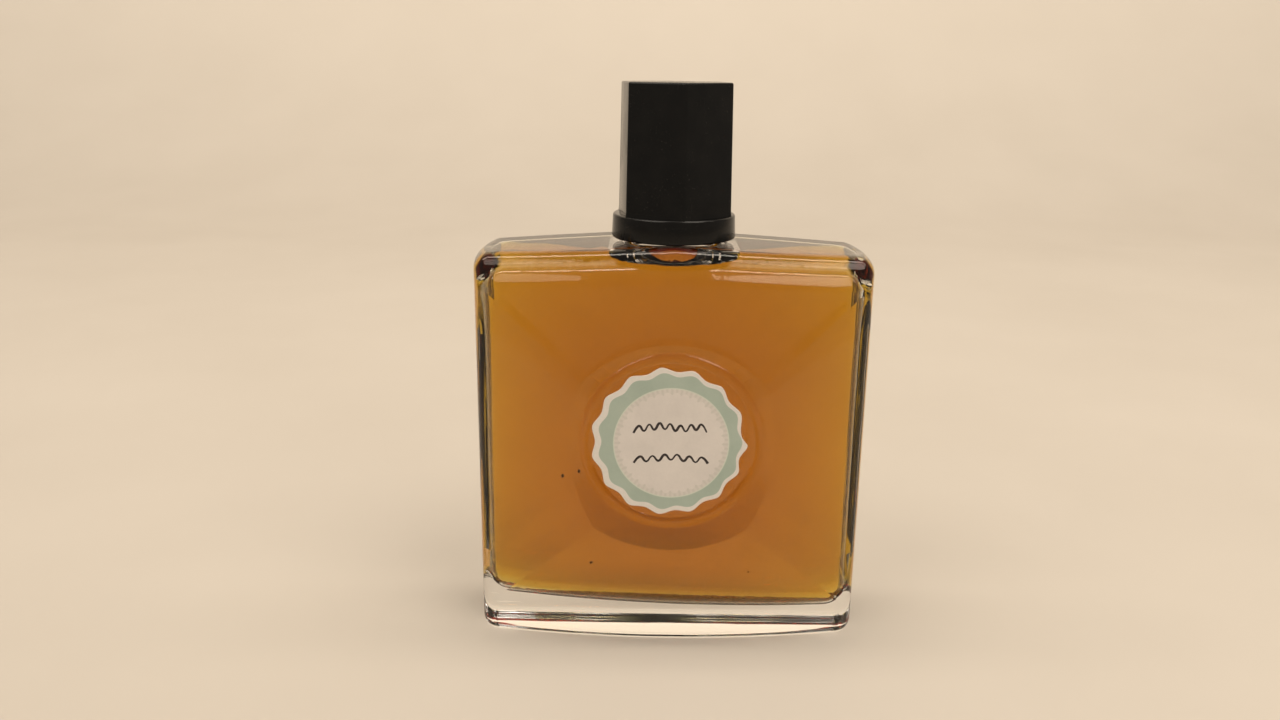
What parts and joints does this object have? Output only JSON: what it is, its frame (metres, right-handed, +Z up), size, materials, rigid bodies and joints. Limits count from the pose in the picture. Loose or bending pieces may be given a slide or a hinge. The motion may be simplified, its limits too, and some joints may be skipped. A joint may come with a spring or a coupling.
{
  "type": "aftershave bottle",
  "caption": "Square faceted glass splash flask of amber aftershave, with a round medallion, a paper sticker and a black six-sided screw cap.",
  "frame": {"origin": "centre of the resting face, on the surface the bottle stands on", "axes": "+Z up through the cap, +X along the width, -Y out of the labelled front"},
  "size_m": [0.075, 0.0356, 0.1069],
  "materials": {
    "clear_glass": "clear pressed flint glass",
    "amber_liquid": "clear amber liquid",
    "natural_polyethylene": "milky soft plastic",
    "black_plastic": "glossy black moulding",
    "white_plastic": "white moulding",
    "liner_foam": "foamed sealing wad",
    "sticker_paper": "matt printed paper"
  },
  "bodies": {
    "bottle": {"glass_bottle": "clear_glass", "aftershave_liquid": "amber_liquid", "pour_insert": "natural_polyethylene", "label": "sticker_paper"},
    "liner": {"cap_liner": "liner_foam"},
    "cap": {"cap_shell": "black_plastic", "cap_thread_insert": "white_plastic"}
  },
  "joints": [
    {"name": "cap_rise", "type": "slide", "parent": "bottle", "child": "liner", "axis": [0, 0, 1], "range_m": [0, 0.01325]},
    {"name": "cap_turn", "type": "hinge", "parent": "liner", "child": "cap", "pos_m": [0, 0, 0.08], "axis": [0, 0, 1], "range_deg": [0, 2251]}
  ],
  "couplings": [
    {"joint": "cap_turn", "follows": "cap_rise", "rad_per_m": 2963.8}
  ]
}
